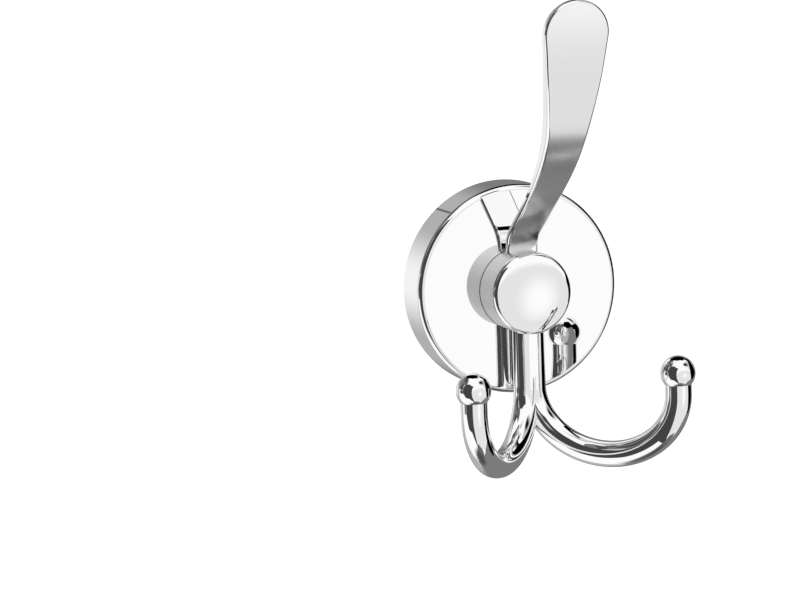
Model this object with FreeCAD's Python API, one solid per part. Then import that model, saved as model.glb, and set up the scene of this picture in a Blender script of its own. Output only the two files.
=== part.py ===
import FreeCAD, Part
import math
import os

# Wall-mounted robe hook: a round rosette, and a cast body with an upper lever and two lower prongs.
# Millimetres. Origin on the rosette's axis in the plane of the wall, +Z up, the front towards -Y.

# Rosette
rosette_radius = 28.0
rosette_depth = 12.5
rosette_edge_round = 1.35
rim_wall = 2.0
face_wall = 2.0
inner_corner_round = 1.0
boss_width = 8.0
boss_height = 2.4
boss_back_margin = 1.2

# Hub
hub_radius = 11.0
hub_length = 9.7
hub_edge_round = 1.6
hub_shoulder_round = 12.0
hub_back_chamfer = 0.2

# Leans of the hub's front from the plane of the wall, in degrees: where its edge meets its shoulder,
# and where its shoulder meets its dome
hub_edge_lean = 25.0
hub_shoulder_lean = 9.0

# Spigot and screw that join the cast body to the rosette
spigot_radius = 4.0
spigot_flats = 6.0
spigot_gap = 0.25
body_screw_radius = 2.5
body_screw_reach = 9.0
tapped_extra = 1.5
flange_gap = 2.0
flange_thick = 1.2
head_share = 0.646
head_height = 2.4
head_round = 0.9
cross_length = 4.4
cross_width = 1.0
cross_depth = 1.6

# Lever
lever_tip_height = 80.2
lever_tip_reach = 61.3
lever_root_stand = 6.2
lever_root_sink = 3.0
lever_neck_half = 3.7
lever_end_radius = 8.85
lever_root_thick = 5.0
lever_mid_thick = 4.9
lever_tip_thick = 2.3
lever_edge_round = 0.7
lever_side_lean = 8.0
lever_tip_lean = 5.0

# Side curve of the lever's front, as shares of its rise and of its reach
lever_side_shape = [(0.0, 0.0), (0.063, 0.002), (0.125, 0.089), (0.252, 0.376), (0.377, 0.612),
                    (0.503, 0.774), (0.693, 0.911), (1.0, 1.0)]

# Front outline of the lever, as shares of its rise and of its widening from neck to round end
lever_front_shape = [(0.0, 0.0), (0.125, 0.0), (0.252, 0.058), (0.377, 0.15), (0.503, 0.31),
                     (0.627, 0.515), (0.752, 0.757)]

# Stem and prongs
stem_stand = 6.3
stem_sink = 4.0
rod_radius = 3.5
rod_offset = 0.85
fork_height = 24.8
fork_fade = 5.0
fork_fade_depth = 0.4
prong_low = 42.1
ball_side = 28.4
ball_reach = 53.0
ball_height = 19.3
ball_radius = 4.6

# Wall bracket
bracket_half_width = 13.0
bracket_depth = 7.5
bracket_foot_gap = 4.5
bracket_edge_round = 0.6
wall_hole_radius = 2.25

# Places and sizes of the bracket's openings, as shares of the height from its middle to its foot
wall_hole_share = 0.6977
window_share = 0.3953
countersink_share = 0.2047

# Set screw
set_screw_radius = 2.0
set_screw_height = 4.5
set_screw_sink = 0.4
set_screw_socket = 2.0
set_screw_socket_depth = 2.0
set_screw_point = 0.8
set_screw_bite = 0.9

# Derived sizes
face_plane = -rosette_depth
inner_radius = rosette_radius - rim_wall
inner_plane = face_plane + face_wall
hub_side_end = face_plane - hub_length
boss_inner_height = inner_radius - boss_height
bracket_foot = inner_radius - bracket_foot_gap
bracket_window_radius = bracket_foot * window_share
wall_hole_height = bracket_foot * wall_hole_share
countersink_radius = bracket_foot * countersink_share
flange_radius = bracket_window_radius - flange_gap
head_radius = flange_radius * head_share
lever_root_reach = rosette_depth + lever_root_stand
lever_root_height = hub_radius - lever_root_sink
stem_reach = rosette_depth + stem_stand
stem_top = hub_radius - stem_sink
lever_rise = lever_tip_height - lever_root_height
lever_out = lever_tip_reach - lever_root_reach
lever_widening = lever_end_radius - lever_neck_half
bite_depth = set_screw_bite * set_screw_radius
point_height = set_screw_radius * set_screw_point

Y_BACK = FreeCAD.Vector(0, 1, 0)
Y_FRONT = FreeCAD.Vector(0, -1, 0)
X_RIGHT = FreeCAD.Vector(1, 0, 0)
Z_UP = FreeCAD.Vector(0, 0, 1)
Z_DOWN = FreeCAD.Vector(0, 0, -1)


def at(x, y, z):
    return FreeCAD.Vector(x, y, z)


def rounded(shape, edges, radius):
    """The shape with the given edges rounded, or as it was where the radius does not fit"""
    if radius <= 0 or not edges:
        return shape
    try:
        result = shape.makeFillet(radius, edges)
    except Exception:
        return shape
    if result.isNull() or not result.isValid() or not result.Solids:
        return shape
    return result.Solids[0]


def circles(shape, radius, plane):
    """Round edges of one radius that lie in one plane across the axis"""
    found = []
    for edge in shape.Edges:
        if edge.Degenerated or not isinstance(edge.Curve, Part.Circle):
            continue
        curve = edge.Curve
        same_radius = abs(curve.Radius - radius) < 0.001
        same_plane = abs(curve.Center.y - plane) < 0.001
        if same_radius and same_plane and abs(abs(curve.Axis.y) - 1) < 0.001:
            found.append(edge)
    return found


def disc(radius, back, front):
    """Cylinder on the rosette's axis between two planes across it"""
    return Part.makeCylinder(radius, back - front, at(0, front, 0), Y_BACK)


# Rosette: a round cast cover with a boss inside for the set screw
def double_d(length, back, grow):
    round_part = Part.makeCylinder(spigot_radius + grow, length, at(0, back - length, 0), Y_BACK)
    width = 2 * (spigot_radius + grow)
    height = spigot_flats + 2 * grow
    flats = Part.makeBox(width, length, height, at(-width / 2, back - length, -height / 2))
    return round_part.common(flats)


def set_screw_boss():
    height = inner_radius - boss_inner_height + rim_wall / 2
    depth = -inner_plane - boss_back_margin + face_wall / 2
    corner = at(-boss_width / 2, inner_plane - face_wall / 2, -boss_inner_height - height)
    return Part.makeBox(boss_width, depth, height, corner)


def rosette():
    cover = disc(rosette_radius, 0, face_plane)
    cover = rounded(cover, circles(cover, rosette_radius, face_plane), rosette_edge_round)
    hollow = disc(inner_radius, 0, inner_plane)
    hollow = rounded(hollow, circles(hollow, inner_radius, inner_plane), inner_corner_round)
    body = cover.cut(hollow)
    body = body.fuse(set_screw_boss())
    body = body.cut(double_d(2 * face_wall, inner_plane + face_wall / 2, 0))
    reach = rosette_radius - boss_inner_height + 2 * rim_wall
    foot = at(0, -set_screw_height, -rosette_radius - rim_wall)
    hole = Part.makeCylinder(set_screw_radius, reach, foot, Z_UP)
    return body.cut(hole).removeSplitter()


# Hub: a short cylinder with a domed front, and a flat-sided spigot behind
def hub_arc(middle, radius, first_lean, last_lean):
    """Arc in the hub's section between two leans, in degrees; its middle and its ends are (radius, y)"""
    points = []
    for lean in (first_lean, (first_lean + last_lean) / 2, last_lean):
        turn = math.radians(lean)
        points.append((middle[0] + radius * math.sin(turn), middle[1] - radius * math.cos(turn)))
    ends = [at(0, y, out) for out, y in points]
    return Part.Arc(*ends).toShape(), points[2]


def arc_middle(point, radius, lean):
    """Middle of the arc of the given radius that passes the point with the given lean"""
    turn = math.radians(lean)
    return (point[0] - radius * math.sin(turn), point[1] + radius * math.cos(turn))


def hub_front():
    """Edge, shoulder and dome of the hub's front, each tangent to the next, and the height of its crown"""
    side_end = (hub_radius, hub_side_end)
    edge_middle = arc_middle(side_end, hub_edge_round, 90)
    edge, edge_end = hub_arc(edge_middle, hub_edge_round, 90, hub_edge_lean)
    shoulder_middle = arc_middle(edge_end, hub_shoulder_round, hub_edge_lean)
    shoulder, shoulder_end = hub_arc(shoulder_middle, hub_shoulder_round, hub_edge_lean, hub_shoulder_lean)
    dome_radius = shoulder_end[0] / math.sin(math.radians(hub_shoulder_lean))
    dome_middle = arc_middle(shoulder_end, dome_radius, hub_shoulder_lean)
    dome, crown = hub_arc(dome_middle, dome_radius, hub_shoulder_lean, 0)
    return [edge, shoulder, dome], crown[1]


def hub():
    front, crown = hub_front()
    axis_back = at(0, face_plane, 0)
    foot_back = at(0, face_plane, hub_radius - hub_back_chamfer)
    edge_back = at(0, face_plane - hub_back_chamfer, hub_radius)
    edge_front = at(0, hub_side_end, hub_radius)
    outline = [Part.makeLine(axis_back, foot_back),
               Part.makeLine(foot_back, edge_back),
               Part.makeLine(edge_back, edge_front)]
    outline += front
    outline.append(Part.makeLine(at(0, crown, 0), axis_back))
    face = Part.Face(Part.Wire(outline))
    return face.revolve(at(0, 0, 0), Y_BACK, 360)


def spigot():
    length = face_wall - spigot_gap
    return double_d(length + hub_length / 4, face_plane + length, 0)


def tapped_hole():
    mouth = face_plane + face_wall
    depth = body_screw_reach + tapped_extra
    bore = Part.makeCylinder(body_screw_radius, depth, at(0, mouth - depth, 0), Y_BACK)
    tip_depth = body_screw_radius / 2
    tip = Part.makeCone(0, body_screw_radius, tip_depth, at(0, mouth - depth - tip_depth, 0), Y_BACK)
    return bore.fuse(tip)


# Lever: a flat arm, curved when seen from the side and widening to a round end when seen from the front
def side_point(share_up, share_out):
    return at(0, -lever_root_reach - share_out * lever_out, lever_root_height + share_up * lever_rise)


def lever_thick(share_up):
    if share_up < 0.5:
        return lever_root_thick + (lever_mid_thick - lever_root_thick) * share_up * 2
    return lever_mid_thick + (lever_tip_thick - lever_mid_thick) * (share_up * 2 - 1)


def lever_side_face():
    front_points = [side_point(up, out) for up, out in lever_side_shape]
    lean = math.radians(lever_tip_lean)
    tip_way = at(0, -math.sin(lean), math.cos(lean))
    front = Part.BSplineCurve()
    front.interpolate(Points=front_points, InitialTangent=Z_UP, FinalTangent=tip_way, Scale=False)
    back_points = []
    for (up, out), point in zip(lever_side_shape, front_points):
        way = front.tangent(front.parameter(point))[0]
        normal = at(0, way.z, -way.y)
        back_points.append(point + normal * lever_thick(up))
    back = Part.BSplineCurve()
    back.interpolate(Points=back_points, InitialTangent=Z_UP, FinalTangent=tip_way, Scale=False)
    edges = [front.toShape(),
             Part.makeLine(front_points[-1], back_points[-1]),
             back.toShape(),
             Part.makeLine(back_points[0], front_points[0])]
    return Part.Face(Part.Wire(Part.__sortEdges__(edges)))


def lever_outline_face():
    lean = math.radians(lever_side_lean)
    centre = lever_tip_height - lever_end_radius
    end_x = lever_end_radius * math.cos(lean)
    end_z = centre - lever_end_radius * math.sin(lean)
    points = []
    for up, widening in lever_front_shape:
        half = lever_neck_half + widening * lever_widening
        points.append(at(half, 0, lever_root_height + up * lever_rise))
    points.append(at(end_x, 0, end_z))
    way = at(math.sin(lean), 0, math.cos(lean))
    right = Part.BSplineCurve()
    right.interpolate(Points=points, InitialTangent=Z_UP, FinalTangent=way, Scale=False)
    right = right.toShape()
    left = right.mirror(at(0, 0, 0), X_RIGHT)
    top = at(0, 0, lever_tip_height)
    round_end = Part.Arc(at(end_x, 0, end_z), top, at(-end_x, 0, end_z)).toShape()
    foot = Part.makeLine(at(-points[0].x, 0, points[0].z), points[0])
    return Part.Face(Part.Wire(Part.__sortEdges__([right, round_end, left, foot])))


def lever():
    half = lever_end_radius + lever_edge_round
    slab = lever_side_face().extrude(at(2 * half, 0, 0))
    slab.translate(at(-half, 0, 0))
    reach = lever_tip_reach + lever_root_thick
    outline = lever_outline_face().extrude(at(0, -reach, 0))
    arm = slab.common(outline).Solids[0]
    long_edges = [edge for edge in arm.Edges if is_lever_rim(edge)]
    return rounded(arm, long_edges, lever_edge_round)


def is_lever_rim(edge):
    """True for the edges that run along the lever's faces, and not for those at its root or across it"""
    box = edge.BoundBox
    at_root = box.ZMax < lever_root_height + lever_edge_round
    across = box.XMax - box.XMin < 0.01 and box.ZMax - box.ZMin < lever_root_thick
    return not at_root and not across


# Stem and prongs: two round rods side by side that part below and curve out and up to a ball each
def rod_path(side):
    top = at(side * rod_offset, -stem_reach, -stem_top)
    bend = at(side * rod_offset, -stem_reach, -fork_height)
    end = at(side * ball_side, -ball_reach, -fork_height)
    tip = at(side * ball_side, -ball_reach, -ball_height)
    middle = (bend + end) * 0.5
    outward = end - bend
    half_span = outward.Length / 2
    outward.normalize()
    drop = prong_low - fork_height
    major, minor = outward, Z_DOWN
    long_radius, short_radius = half_span, drop
    if drop > half_span:
        major, minor = Z_DOWN, outward
        long_radius, short_radius = drop, half_span
    ellipse = Part.Ellipse(middle + major * long_radius, middle + minor * short_radius, middle)
    first = ellipse.parameter(bend)
    last = ellipse.parameter(end)
    low = ellipse.parameter(middle + Z_DOWN * drop)
    turn = 2 * math.pi
    if (low - first) % turn < (last - first) % turn:
        arc = Part.ArcOfEllipse(ellipse, first, first + (last - first) % turn).toShape()
    else:
        arc = Part.ArcOfEllipse(ellipse, last, last + (first - last) % turn).toShape()
    parts = [Part.makeLine(top, bend), arc, Part.makeLine(end, tip)]
    return Part.Wire(Part.__sortEdges__(parts))


def prong(side):
    path = rod_path(side)
    start = at(side * rod_offset, -stem_reach, -stem_top)
    section = Part.Wire(Part.makeCircle(rod_radius, start, Z_DOWN))
    rod = path.makePipeShell([section], True, False)
    ball = Part.makeSphere(ball_radius, at(side * ball_side, -ball_reach, -ball_height))
    return rod.fuse(ball)


def stem_web():
    """Plate between the two rods, thinner below so that the groove of the fork begins softly"""
    front = -stem_reach - rod_radius
    back = -stem_reach + rod_radius
    corners = [at(-rod_offset, front, -stem_top),
               at(-rod_offset, front, -fork_height),
               at(-rod_offset, front + fork_fade_depth, -fork_height - fork_fade),
               at(-rod_offset, back - fork_fade_depth, -fork_height - fork_fade),
               at(-rod_offset, back, -fork_height),
               at(-rod_offset, back, -stem_top)]
    plate = Part.Face(Part.makePolygon(corners + [corners[0]]))
    return plate.extrude(at(2 * rod_offset, 0, 0))


def hook_body():
    body = hub()
    body = body.fuse([lever(), prong(1), prong(-1), stem_web(), spigot()])
    body = body.cut(tapped_hole())
    return body.removeSplitter()


# Wall bracket: a block screwed to the wall, with a window for the screw head and a dimple for the set screw
def wall_bracket():
    height = 2 * rosette_radius
    block = Part.makeBox(2 * bracket_half_width, bracket_depth, height,
                         at(-bracket_half_width, -bracket_depth, -bracket_foot))
    block = block.common(disc(inner_radius, bracket_depth, -2 * bracket_depth))
    uprights = [edge for edge in block.Edges if is_bracket_upright(edge)]
    block = rounded(block, uprights, bracket_edge_round)
    block = block.cut(disc(bracket_window_radius, bracket_depth, -2 * bracket_depth))
    for way in (1, -1):
        block = block.cut(wall_hole(way * wall_hole_height))
    return block.cut(set_screw_solid()).removeSplitter()


def is_bracket_upright(edge):
    box = edge.BoundBox
    along_depth = box.YMax - box.YMin > bracket_depth - 0.01
    short = box.ZMax - box.ZMin < 0.01 and box.XMax - box.XMin < 0.01
    return along_depth and short and box.ZMax < 0


def wall_hole(height):
    bore = Part.makeCylinder(wall_hole_radius, 3 * bracket_depth, at(0, -2 * bracket_depth, height), Y_BACK)
    sink_depth = countersink_radius - wall_hole_radius
    mouth = at(0, -bracket_depth, height)
    sink = Part.makeCone(countersink_radius, wall_hole_radius, sink_depth, mouth, Y_BACK)
    return bore.fuse(sink)


# Body screw: a flanged pan head with a cross recess, and a plain shank
def body_screw():
    shank = disc(body_screw_radius, inner_plane, inner_plane - body_screw_reach)
    flange = disc(flange_radius, inner_plane + flange_thick, inner_plane)
    head_back = inner_plane + flange_thick + head_height
    head = disc(head_radius, head_back, inner_plane)
    head = rounded(head, circles(head, head_radius, head_back), head_round)
    screw = shank.fuse([flange, head])
    for length, width in ((cross_length, cross_width), (cross_width, cross_length)):
        corner = at(-length / 2, head_back - cross_depth, -width / 2)
        slot = Part.makeBox(length, 2 * cross_depth, width, corner)
        screw = screw.cut(slot)
    return screw.removeSplitter()


# Set screw: a headless screw with a pointed end that bites into the bracket's foot
def set_screw_solid():
    tip = -bracket_foot + bite_depth
    shoulder = tip - point_height
    foot = -rosette_radius + set_screw_sink
    shank = Part.makeCylinder(set_screw_radius, shoulder - foot, at(0, -set_screw_height, foot), Z_UP)
    point = Part.makeCone(set_screw_radius, 0, point_height, at(0, -set_screw_height, shoulder), Z_UP)
    return shank.fuse(point)


def set_screw():
    foot = -rosette_radius + set_screw_sink
    corners = []
    for step in range(7):
        angle = step * math.pi / 3
        x = set_screw_socket / math.sqrt(3) * math.cos(angle)
        y = set_screw_socket / math.sqrt(3) * math.sin(angle)
        corners.append(at(x, y - set_screw_height, foot))
    socket = Part.Face(Part.makePolygon(corners)).extrude(at(0, 0, set_screw_socket_depth))
    return set_screw_solid().cut(socket).removeSplitter()


def save(shape, node):
    if len(shape.Solids) == 1:
        shape = shape.Solids[0]
    shape.exportStep("parts/" + node + ".step")


os.makedirs("parts", exist_ok=True)
save(rosette(), "rosette")
save(hook_body(), "hook_body")
save(wall_bracket(), "wall_bracket")
save(body_screw(), "body_screw")
save(set_screw(), "set_screw")
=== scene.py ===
import math

import bpy
import numpy
from mathutils import Matrix, Vector


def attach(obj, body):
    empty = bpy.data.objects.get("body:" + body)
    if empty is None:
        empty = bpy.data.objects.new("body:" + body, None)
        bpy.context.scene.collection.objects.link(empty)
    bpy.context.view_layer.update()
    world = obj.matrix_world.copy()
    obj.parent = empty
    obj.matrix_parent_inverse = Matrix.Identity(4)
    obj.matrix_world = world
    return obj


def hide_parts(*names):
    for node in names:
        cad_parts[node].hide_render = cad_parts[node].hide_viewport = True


# Looks of a wall-mounted robe hook: polished chrome in a white studio with grey, pale and black cards

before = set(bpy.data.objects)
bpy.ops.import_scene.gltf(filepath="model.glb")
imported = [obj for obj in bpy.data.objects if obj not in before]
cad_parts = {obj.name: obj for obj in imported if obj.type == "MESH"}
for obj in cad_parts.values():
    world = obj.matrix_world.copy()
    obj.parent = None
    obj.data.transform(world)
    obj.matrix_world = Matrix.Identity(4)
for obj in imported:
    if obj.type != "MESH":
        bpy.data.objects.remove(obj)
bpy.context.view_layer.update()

# Camera: to the left of the front of the hook, and a little above it
CAMERA_PLACE = (-0.44861, -1.19872, 0.18152)
CAMERA_AIM = (-0.02596, 0.00884, -0.00366)
CAMERA_ROLL = -1.808
CAMERA_LENS = 216.9
SENSOR_WIDTH = 36.0
CAMERA_NEAR = 0.05
CAMERA_FAR = 100

# Sizes of the casting and of its cover, in millimetres. They are those of the solids, apart from the
# lever's thickness, neck, root, curves and edge rounding, the rosette's rounder edge and the fork's
# longer, deeper groove
MM = 0.001
ROSETTE_RADIUS = 28.0
ROSETTE_DEPTH = 12.5
ROSETTE_EDGE_ROUND = 1.6
RIM_WALL = 2.0
FACE_WALL = 2.0
INNER_CORNER_ROUND = 1.0
BOSS_WIDTH = 8.0
BOSS_HEIGHT = 2.4
BOSS_BACK_MARGIN = 1.2
SET_SCREW_RADIUS = 2.0
SET_SCREW_PLACE = 4.5
HUB_RADIUS = 11.0
HUB_LENGTH = 9.7
HUB_EDGE_ROUND = 1.6
HUB_SHOULDER_ROUND = 12.0
HUB_EDGE_LEAN = 25.0
HUB_SHOULDER_LEAN = 9.0
HUB_BACK_CHAMFER = 0.2
SPIGOT_RADIUS = 4.0
SPIGOT_FLATS = 6.0
SPIGOT_GAP = 0.25
TAPPED_RADIUS = 2.5
TAPPED_DEPTH = 10.5
LEVER_TIP_HEIGHT = 80.2
LEVER_TIP_REACH = 61.3
LEVER_ROOT_STAND = 4.4
LEVER_ROOT_SINK = 3.0
LEVER_NECK_HALF = 4.27
LEVER_END_RADIUS = 8.85
LEVER_THICK_FROM = 0.25
LEVER_ROOT_THICK = 2.1
LEVER_MID_THICK = 4.0
LEVER_TIP_THICK = 2.8
LEVER_EDGE_ROUND = 0.86
LEVER_SIDE_LEAN = math.radians(8.0)
LEVER_TIP_LEAN = math.radians(5.0)
STEM_STAND = 6.3
STEM_SINK = 4.0
ROD_RADIUS = 3.5
ROD_OFFSET = 0.85
FORK_HEIGHT = 24.8
FORK_FADE = 5.0
FORK_FADE_DEPTH = 0.7
GROOVE_RISE = 3.0
PRONG_LOW = 42.1
BALL_SIDE = 28.4
BALL_REACH = 53.0
BALL_HEIGHT = 19.3
BALL_RADIUS = 4.6

# Side curve of the lever's front, as shares of its rise and of its reach
LEVER_SIDE_SHAPE = [(0.0, 0.0), (0.063, 0.002), (0.125, 0.098), (0.252, 0.372), (0.377, 0.609),
                    (0.503, 0.773), (0.693, 0.902), (1.0, 1.0)]

# Front outline of the lever, as shares of its rise and of its widening from neck to round end
LEVER_FRONT_SHAPE = [(0.0, 0.0), (0.125, 0.066), (0.252, 0.102), (0.377, 0.19), (0.503, 0.313),
                     (0.627, 0.542), (0.752, 0.798)]

# Planes and heights that follow from them
FACE_PLANE = -ROSETTE_DEPTH
INNER_PLANE = FACE_PLANE + FACE_WALL
HUB_SIDE_END = FACE_PLANE - HUB_LENGTH
INNER_RADIUS = ROSETTE_RADIUS - RIM_WALL
LEVER_ROOT_REACH = ROSETTE_DEPTH + LEVER_ROOT_STAND
LEVER_ROOT_HEIGHT = HUB_RADIUS - LEVER_ROOT_SINK
LEVER_RISE = LEVER_TIP_HEIGHT - LEVER_ROOT_HEIGHT
LEVER_OUT = LEVER_TIP_REACH - LEVER_ROOT_REACH
STEM_REACH = ROSETTE_DEPTH + STEM_STAND
STEM_TOP = HUB_RADIUS - STEM_SINK

# Fineness of the meshes
ROSETTE_SIDES = 288
HUB_SIDES = 192
ROD_SIDES = 72
HOLE_SIDES = 48
ROUND_STEPS = 14
DOME_STEPS = 24
BEND_STEPS = 150
BALL_STEPS = 36
LEVER_SIDE_STEPS = 120
LEVER_END_STEPS = 44
LEVER_ACROSS = 20
LEVER_ROUND_STEPS = 8
CURVE_SAMPLES = 300

# Finish of the chrome and its painted shade. Radii, planes and heights are in metres, as pairs between
# which these change
CHROME_COLOUR = (0.97, 0.97, 0.97, 1)
POLISH_SCALE = 60
POLISH_DETAIL = 3
POLISH_SPREAD = (0.35, 0.7)
POLISH_ROUGH = (0.002, 0.012)
INSIDE_COLOUR = (0.50, 0.50, 0.48, 1)
INSIDE_ROUGH = 0.38
INSIDE_RADII = ((INNER_RADIUS + 0.2) * MM, (INNER_RADIUS + 0.4) * MM)
INSIDE_PLANES = ((FACE_PLANE + 1.3) * MM, (FACE_PLANE + 1.7) * MM)
GRAIN_SCALE = 900
GRAIN_DEPTH = 0.00004
GRAIN_STRENGTH = 0.6
HUB_SIDE_COLOUR = (0.72, 0.72, 0.72, 1)
HUB_SIDE_ROUGH = 0.35
HUB_SIDE_INNER_RADII = ((HUB_RADIUS - 0.15) * MM, (HUB_RADIUS - 0.05) * MM)
HUB_SIDE_OUTER_RADII = ((HUB_RADIUS + 0.05) * MM, (HUB_RADIUS + 0.15) * MM)
# Painted contact shade: a near-black ring on the hub's foot and on the cover's face where the two meet
HUB_CONTACT_SHADE_COLOUR = (0.03, 0.03, 0.03, 1)
HUB_CONTACT_SHADE_RADII = ((HUB_RADIUS - 0.3) * MM, (HUB_RADIUS - 0.25) * MM)
HUB_CONTACT_SHADE_PLANES = ((FACE_PLANE - 0.25) * MM, (FACE_PLANE - 0.2) * MM)
LEVER_ROUGH = 0.21
LEVER_ROOT_ROUGH = 0.12
# Painted shade: the lever's front is darker near its root, below these heights
LEVER_ROOT_SHADE_COLOUR = (0.55, 0.55, 0.55, 1)
LEVER_ROOT_SHADE_HEIGHTS = (0.0235, 0.030)
# Painted shade: the lever's sides are darker below these heights, where they are also satin
LEVER_LOW_SIDE_SHADE_COLOUR = (0.55, 0.55, 0.55, 1)
LEVER_SIDE_SATIN_AND_SHADE_HEIGHTS = (0.0225, 0.0265)
LEVER_PLANES = ((FACE_PLANE - 2) * MM, (FACE_PLANE - 1) * MM)
LEVER_SATIN_HEIGHTS = (HUB_RADIUS * MM, (HUB_RADIUS + 2.5) * MM)
LEVER_ROUGH_HEIGHTS = (HUB_RADIUS * MM, 0.024)

# How far a face is turned one way, from the start to the end of an area's soft border
STRAIGHT_OUT = (0.985, 0.995)
LEVEL_ACROSS = (0.03, 0.1)
TO_THE_FRONT = (-0.3, 0)

# Hidden metals: darkest and lightest colour, and the unevenness of their plating
BRACKET_COLOURS = ((0.52, 0.52, 0.50, 1), (0.68, 0.68, 0.65, 1))
ZINC_COLOURS = ((0.62, 0.63, 0.66, 1), (0.74, 0.75, 0.78, 1))
BLACK_COLOURS = ((0.03, 0.03, 0.032, 1), (0.06, 0.06, 0.063, 1))
PLATING_DETAIL = 4
PLATING_SPREAD = (0.3, 0.7)
PLATING_STRENGTH = 0.5

# Studio sizes
CARD_DISTANCE = 20.0
LAYER_STEP = 0.01
CARD_FINENESS = math.radians(5.0)
OVAL_SIDES = 48
FLOOR_HEIGHT = -0.30
FLOOR_RADIUS = 6.0
FLOOR_SIDES = 128
FLOOR_COLOUR = (0.85, 0.85, 0.85, 1)
FLOOR_GLOW = (0.65, 0.65, 0.65, 1)
LAMP_PLACE = (-1.4, -1.6, 2.2)
LAMP_SIZE = 1.8
LAMP_POWER = 22.0
AMBIENT = 0.55
WHITE = 1.0
NEARLY_UPRIGHT = 0.01

# Outlines of the cards, as directions in degrees: to the right of the front, and above level
BACK_RIGHT_OUTLINE = [(62, -62), (64, -45), (72, -34), (78, -27), (92, -26), (106, -18), (118, -6),
                      (122, 8), (128, 22), (134, 40), (150, 42), (172, 42), (178, 20), (176, -20),
                      (178, -50), (180, -70), (120, -72)]
BACK_LEFT_OUTLINE = [(-188, 46), (-165, 48), (-140, 46), (-128, 30), (-126, 6), (-128, -14),
                     (-136, -34), (-142, -56), (-150, -68), (-175, -70), (-190, -60), (-192, -10)]
LEFT_WALL_OUTLINE = [(-170, 66), (-150, 68), (-125, 67), (-100, 66), (-84, 60), (-76, 44), (-80, 30),
                     (-88, 10), (-100, 8), (-118, 6), (-128, 10), (-150, 20), (-176, 36)]
LEFT_DARK_HIGH_OUTLINE = [(-176, 62), (-150, 62), (-125, 64), (-104, 60), (-92, 46), (-82, 34),
                          (-90, 34), (-104, 52), (-125, 46), (-150, 44), (-168, 48)]
LEFT_DARK_MID_OUTLINE = [(-114, 44), (-105, 40), (-100, 28), (-97, 16), (-106, 12), (-122, 10),
                         (-124, 16), (-116, 30)]
LEFT_DARK_LOW_OUTLINE = [(-120, -4), (-112, 6), (-94, 8), (-90, -10), (-108, -10)]
FLOOR_RIGHT_OUTLINE = [(-20, -66), (0, -58), (30, -57), (50, -60), (62, -63), (100, -66), (180, -68),
                       (200, -70), (210, -80), (230, -84), (270, -84), (300, -82), (320, -74)]
RIGHT_PALE_OUTLINE = [(56, 20), (66, 50), (84, 54), (100, 46), (96, 34), (80, 26), (70, 12)]
BLACK_RIGHT_OUTLINE = [(64, -2), (67, 13), (76, 27), (92, 36), (112, 40), (117, 49), (133, 49),
                       (133, 30), (131, 20), (121, 16), (118, 4), (117, -7), (110, -18), (103, -24),
                       (91, -29), (78, -26), (68, -13)]
BLACK_CEILING_OUTLINE = [(114, 55), (100, 63), (118, 76), (140, 83), (190, 83), (208, 74), (204, 58),
                         (197, 46), (184, 36), (165, 33), (142, 34), (126, 36)]
DARK_FLAG_OUTLINE = [(-19, 37), (-29, 20), (-32, -4), (-30, -29), (-21, -51), (-37, -56), (-53, -41),
                     (-78, -33), (-84, -20), (-92, -3), (-93, 10), (-92, 32), (-86, 41), (-58, 51),
                     (-37, 43)]
FLAG_TAIL_OUTLINE = [(-30, -29), (-21, -51), (0, -68), (-12, -68), (-37, -56), (-53, -41), (-45, -30)]


class Skin:
    """Closed surface in the making: faces with shared corners, and a true normal at each face's corners"""

    def __init__(self):
        self.index = {}
        self.places = []
        self.faces = []
        self.normals = []

    def corner(self, place):
        key = tuple(round(value, 6) for value in place)
        if key not in self.index:
            self.index[key] = len(self.places)
            self.places.append([value * MM for value in key])
        return self.index[key]

    def face(self, points):
        """One face of (place, normal) points: without repeated corners, its front on its normals' side"""
        corners = []
        normals = []
        for place, normal in points:
            corner = self.corner(place)
            if corner not in corners:
                corners.append(corner)
                normals.append(Vector(normal).normalized())
        if len(corners) < 3:
            return
        places = [Vector(self.places[corner]) for corner in corners]
        area = Vector((0, 0, 0))
        for first, second in zip(places[1:], places[2:]):
            area += (first - places[0]).cross(second - places[0])
        if area.dot(sum(normals, Vector((0, 0, 0)))) < 0:
            corners.reverse()
            normals.reverse()
        self.faces.append(corners)
        self.normals += normals

    def strip(self, first, second, closed=True):
        """Faces between two lines of (place, normal) points that match one to one"""
        count = len(first)
        for step in range(count if closed else count - 1):
            after = (step + 1) % count
            self.face([first[step], first[after], second[after], second[step]])

    def rings(self, lines, closed=True):
        for first, second in zip(lines, lines[1:]):
            self.strip(first, second, closed)

    def to_object(self, name):
        mesh = bpy.data.meshes.new(name)
        mesh.from_pydata(self.places, [], self.faces)
        mesh.update()
        true_normal = mesh.attributes.new("true_normal", "FLOAT_VECTOR", "CORNER")
        flat = [value for normal in self.normals for value in normal]
        true_normal.data.foreach_set("vector", flat)
        thing = bpy.data.objects.new(name, mesh)
        bpy.context.collection.objects.link(thing)
        return thing


def arc_run(centre, radius, first, last, steps, side=1):
    """Arc in a section as (u, v, outward u, outward v); a side of -1 is for a hollow"""
    run = []
    for step in range(steps + 1):
        turn = math.radians(first + (last - first) * step / steps)
        u, v = math.cos(turn), math.sin(turn)
        run.append((centre[0] + radius * u, centre[1] + radius * v, side * u, side * v))
    return run


def lathe(skin, runs, sides):
    """Surface turned about the Y axis; a run is a smooth line of (radius, y, outward radius, outward y)"""
    for run in runs:
        lines = []
        for radius, y, out, along in run:
            line = []
            for step in range(sides):
                turn = 2 * math.pi * step / sides
                x, z = math.cos(turn), math.sin(turn)
                line.append(((radius * x, y, radius * z), (out * x, along, out * z)))
            lines.append(line)
        skin.rings(lines)


def along_y(u, v, w):
    return (u, w, v)


def along_z(u, v, w):
    return (u, v, w)


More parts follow.
